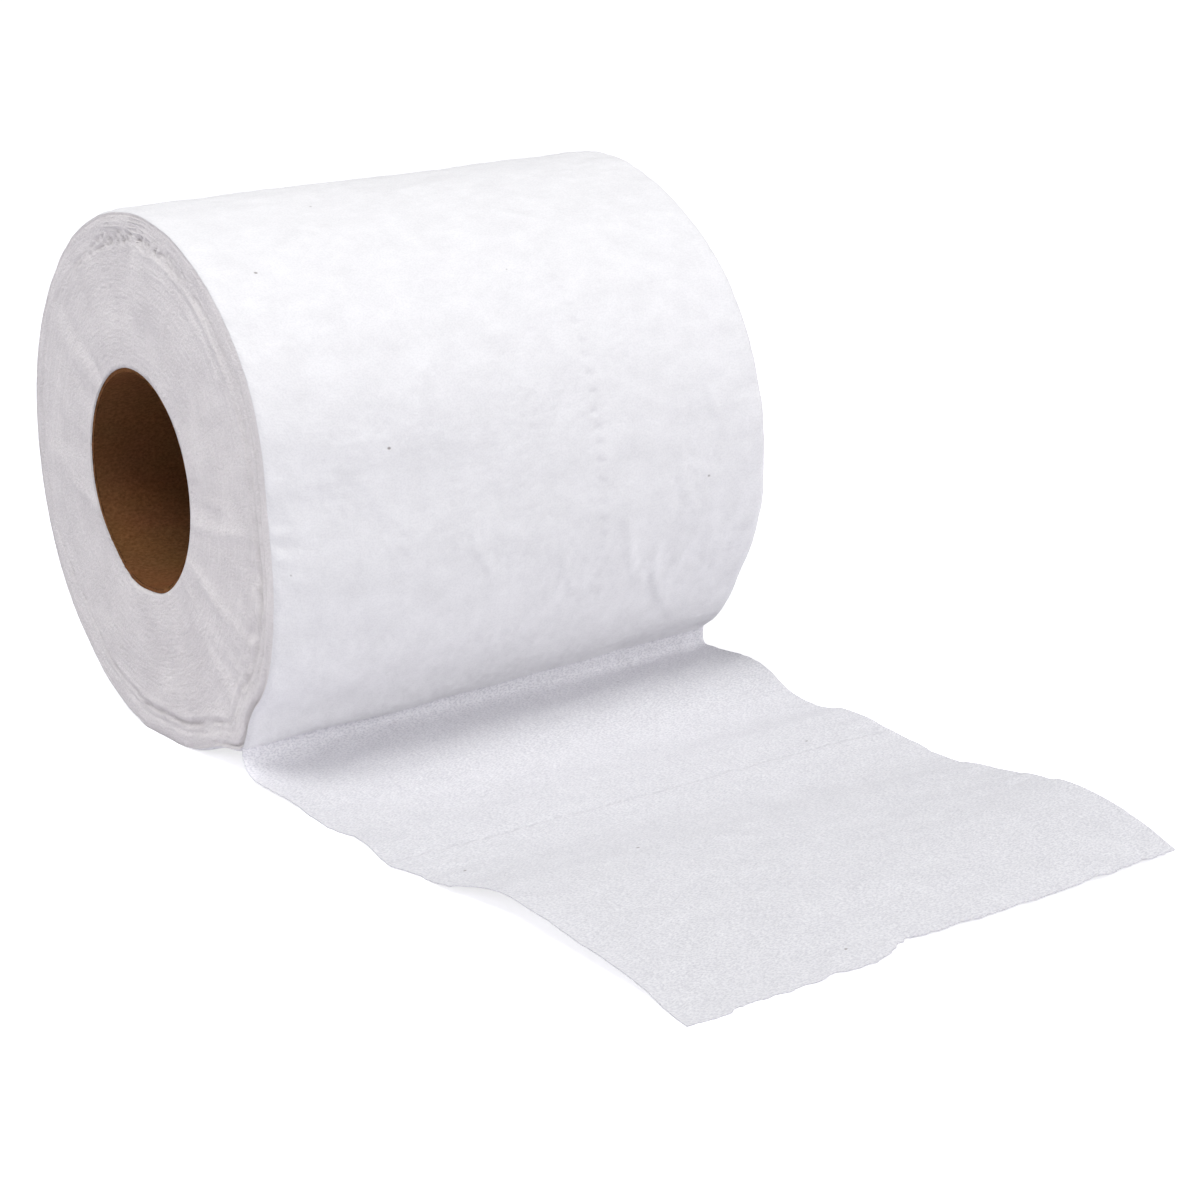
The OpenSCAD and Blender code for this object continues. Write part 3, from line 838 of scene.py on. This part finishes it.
edging, given, result = make_tree("turn_edges", [
    ("Step", "NodeSocketFloat"), ("Paper", "NodeSocketFloat"), ("Stand", "NodeSocketFloat"),
    ("Rise", "NodeSocketFloat"), ("Wander", "NodeSocketFloat"), ("Waves", "NodeSocketFloat"),
    ("Seed", "NodeSocketFloat"), ("Material", "NodeSocketMaterial"),
])
line = edging.nodes.new("GeometryNodeMeshToCurve")
edging.links.new(given.outputs["Geometry"], line.inputs["Mesh"])
even = edging.nodes.new("GeometryNodeResampleCurve")
even.mode = "LENGTH"
edging.links.new(line.outputs["Curve"], even.inputs["Curve"])
edging.links.new(given.outputs["Step"], even.inputs["Length"])
waves = edging.nodes.new("ShaderNodeTexNoise")
waves.noise_dimensions = "4D"
waves.inputs["Detail"].default_value = 1.0
edging.links.new(given.outputs["Waves"], waves.inputs["Scale"])
edging.links.new(given.outputs["Seed"], waves.inputs["W"])
centred = edging.nodes.new("ShaderNodeVectorMath")
centred.operation = "SUBTRACT"
edging.links.new(waves.outputs["Color"], centred.inputs[0])
centred.inputs[1].default_value = (0.5, 0.5, 0.5)
reachable = edging.nodes.new("ShaderNodeCombineXYZ")
edging.links.new(given.outputs["Rise"], reachable.inputs[0])
edging.links.new(given.outputs["Wander"], reachable.inputs[1])
edging.links.new(given.outputs["Wander"], reachable.inputs[2])
waved = edging.nodes.new("ShaderNodeVectorMath")
waved.operation = "MULTIPLY"
edging.links.new(centred.outputs[0], waved.inputs[0])
edging.links.new(reachable.outputs[0], waved.inputs[1])
moved = edging.nodes.new("GeometryNodeSetPosition")
edging.links.new(even.outputs["Curve"], moved.inputs["Geometry"])
edging.links.new(waved.outputs[0], moved.inputs["Offset"])
upright = edging.nodes.new("GeometryNodeSetCurveNormal")
upright.mode = "FREE"
upright.inputs["Normal"].default_value = (1, 0, 0)
edging.links.new(moved.outputs["Geometry"], upright.inputs["Curve"])
section = edging.nodes.new("GeometryNodeCurvePrimitiveQuadrilateral")
edging.links.new(given.outputs["Paper"], section.inputs["Width"])
edging.links.new(given.outputs["Stand"], section.inputs["Height"])
strip = edging.nodes.new("GeometryNodeCurveToMesh")
strip.inputs["Fill Caps"].default_value = True
edging.links.new(upright.outputs["Curve"], strip.inputs["Curve"])
edging.links.new(section.outputs["Curve"], strip.inputs["Profile Curve"])
close_tree(edging, given, result, strip.outputs["Mesh"])


def add_turn_edges(name, face, depth, raised, seed):
    """One end's loosened edges, laid on that end face."""
    turn = np.arange(edge_turns * roll_count) / roll_count
    at = np.arange(edge_turns * roll_count) % roll_count
    deep = 0.5 + edge_pitch * turn + 0.2 * smooth_noise(turn * 60, turn, seed)
    spot = np.array([[np.interp(d, depth[i], face[i, :, axis]) for axis in range(3)]
                     for i, d in zip(at, deep)])
    spot[:, 0] += np.sign(spot[:, 0]) * raised[at]
    piece = make_mesh(name, spot, [], [(i, i + 1) for i in range(len(spot) - 1)])
    apply_tree(piece, edging, {
        "Step": 0.7 * mm, "Paper": 0.12 * mm, "Stand": 0.4 * mm, "Rise": 0.35 * mm, "Wander": 0.6 * mm,
        "Waves": 420.0, "Seed": float(seed), "Material": cut_tissue,
    })
    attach(piece, "root")
    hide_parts("tissue_roll")


add_turn_edges("near_turn_edges", near_face, near_depth, near_raised, 5)
add_turn_edges("far_turn_edges", far_face, far_depth, far_raised, 8)


# The loose end is the same web, run on from the outer turn. It bends sharply where it meets the floor and
# lies there in low waves, with a row of slits across it and a torn edge.
loose_top = web_points[leave_row:]
loose_normals = web_normals[leave_row:]
loose_count = len(loose_top)
loose_under = loose_top - paper * loose_normals
loose_top[..., 2] = np.maximum(loose_top[..., 2], floor_z + 0.8 * paper)
loose_under[1:, :, 2] = np.clip(loose_under[1:, :, 2], floor_z, loose_top[1:, :, 2] - 0.5 * paper)
sheet_points = np.concatenate([loose_top.reshape(-1, 3), loose_under.reshape(-1, 3)])
top_faces = grid_faces(loose_count, columns)[:, ::-1]
under_faces = top_faces[:, ::-1] + loose_count * columns
loop = np.concatenate([
    np.arange(columns), np.arange(1, loose_count) * columns + columns - 1,
    (loose_count - 1) * columns + np.arange(columns - 2, -1, -1),
    np.arange(loose_count - 2, 0, -1) * columns,
])
around = np.roll(loop, -1)
edge_faces = np.stack([loop, around, around + loose_count * columns, loop + loose_count * columns], -1)
loose_end = make_mesh("loose_end", sheet_points, np.concatenate([top_faces, under_faces, edge_faces]))
mesh = loose_end.data
corner = np.empty(len(mesh.loops), int)
mesh.loops.foreach_get("vertex_index", corner)
sheet_uv = np.stack([web_x[leave_row:], along_web[leave_row:]], -1).reshape(-1, 2)
set_uv(mesh, np.concatenate([sheet_uv, sheet_uv])[corner])
# The loose end keeps the painted shade of its crimp grooves and slits.
groove_shade_at = np.zeros(len(mesh.vertices))
groove_shade_at[:loose_count * columns] = painted_groove_shade[leave_row:].ravel()
mesh.attributes.new("pressed", "FLOAT", "POINT").data.foreach_set("value", groove_shade_at)
# The loose end is given painted light in its fold.
single_sheet = tissue_material(
    "single_sheet", (0.71, 0.70, 0.735, 1), (0.83, 0.82, 0.85, 1), fibre=0.3, mottle=0.7, lint=0.33,
    fleck_scale=(1900, 3300, 1), painted_fold_light=0.55, crepe_height=0.6)
mesh.materials.append(single_sheet)
mesh.shade_smooth()
normals = np.empty(len(mesh.vertices) * 3)
mesh.vertices.foreach_get("normal", normals)
normals = normals.reshape(-1, 3)
normals[:columns] = loose_normals[0]
mesh.normals_split_custom_set_from_vertices(normals.tolist())
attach(loose_end, "root")
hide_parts("tissue_roll")


# The floor is a plain pale sheet. The camera sees it white, and it keeps the roll's soft shadow.
floor = make_mesh("floor", [(-3000, -3000, floor_z - 0.05), (3000, -3000, floor_z - 0.05),
                            (3000, 3000, floor_z - 0.05), (-3000, 3000, floor_z - 0.05)], [(0, 1, 2, 3)])


def seen_white(tree, seen):
    """1 for rays that come from the camera, straight or by a mirror or through a clear thing."""
    both = calculate(tree, "ADD", seen.outputs["Is Camera Ray"], seen.outputs["Is Glossy Ray"])
    every = calculate(tree, "ADD", both, seen.outputs["Is Transmission Ray"])
    return calculate(tree, "MINIMUM", every, 1.0)


ground, tree, shader = make_material("floor", 0.9)
shader.inputs["Base Color"].default_value = (0.78, 0.77, 0.83, 1)
seen = add_node(tree, "ShaderNodeLightPath")
glow = add_node(tree, "ShaderNodeEmission", Color=(1, 1, 1, 1), Strength=0.72)
lit = add_node(tree, "ShaderNodeAddShader")
both = add_node(tree, "ShaderNodeMixShader")
tree.links.new(shader.outputs[0], lit.inputs[0])
tree.links.new(glow.outputs[0], lit.inputs[1])
tree.links.new(seen_white(tree, seen), both.inputs[0])
tree.links.new(shader.outputs[0], both.inputs[1])
tree.links.new(lit.outputs[0], both.inputs[2])
tree.links.new(both.outputs[0], tree.nodes["Material Output"].inputs["Surface"])
floor.data.materials.append(ground)

world = bpy.data.worlds.new("studio")
bpy.context.scene.world = world
world.use_nodes = True
tree = world.node_tree
background = tree.nodes["Background"]
seen = add_node(tree, "ShaderNodeLightPath")
white = add_node(tree, "ShaderNodeBackground", Color=(1, 1, 1, 1), Strength=1.0)
background.inputs["Color"].default_value = (0.95, 0.97, 1.0, 1)
background.inputs["Strength"].default_value = 0.36
both = add_node(tree, "ShaderNodeMixShader")
tree.links.new(seen_white(tree, seen), both.inputs[0])
tree.links.new(background.outputs[0], both.inputs[1])
tree.links.new(white.outputs[0], both.inputs[2])
tree.links.new(both.outputs[0], tree.nodes["World Output"].inputs["Surface"])


def soft_box(name, place, aim, size, power):
    """A square studio lamp, placed and aimed in millimetres."""
    data = bpy.data.lights.new(name, "AREA")
    data.shape = "SQUARE"
    data.size = size * mm
    data.energy = power
    lamp = bpy.data.objects.new(name, data)
    lamp.location = Vector(place) * mm
    lamp.rotation_euler = (Vector(aim) - Vector(place)).to_track_quat("-Z", "Y").to_euler()
    bpy.context.scene.collection.objects.link(lamp)


soft_box("top_box", (-400, -130, 950), (0, -30, 0), 500, 6.1)
soft_box("left_box", (-1000, -200, 400), (0, -30, 0), 700, 1.45)
soft_box("right_box", (800, -900, 400), (0, -30, 0), 700, 6.9)

scene = bpy.context.scene
scene.view_settings.view_transform = "Standard"
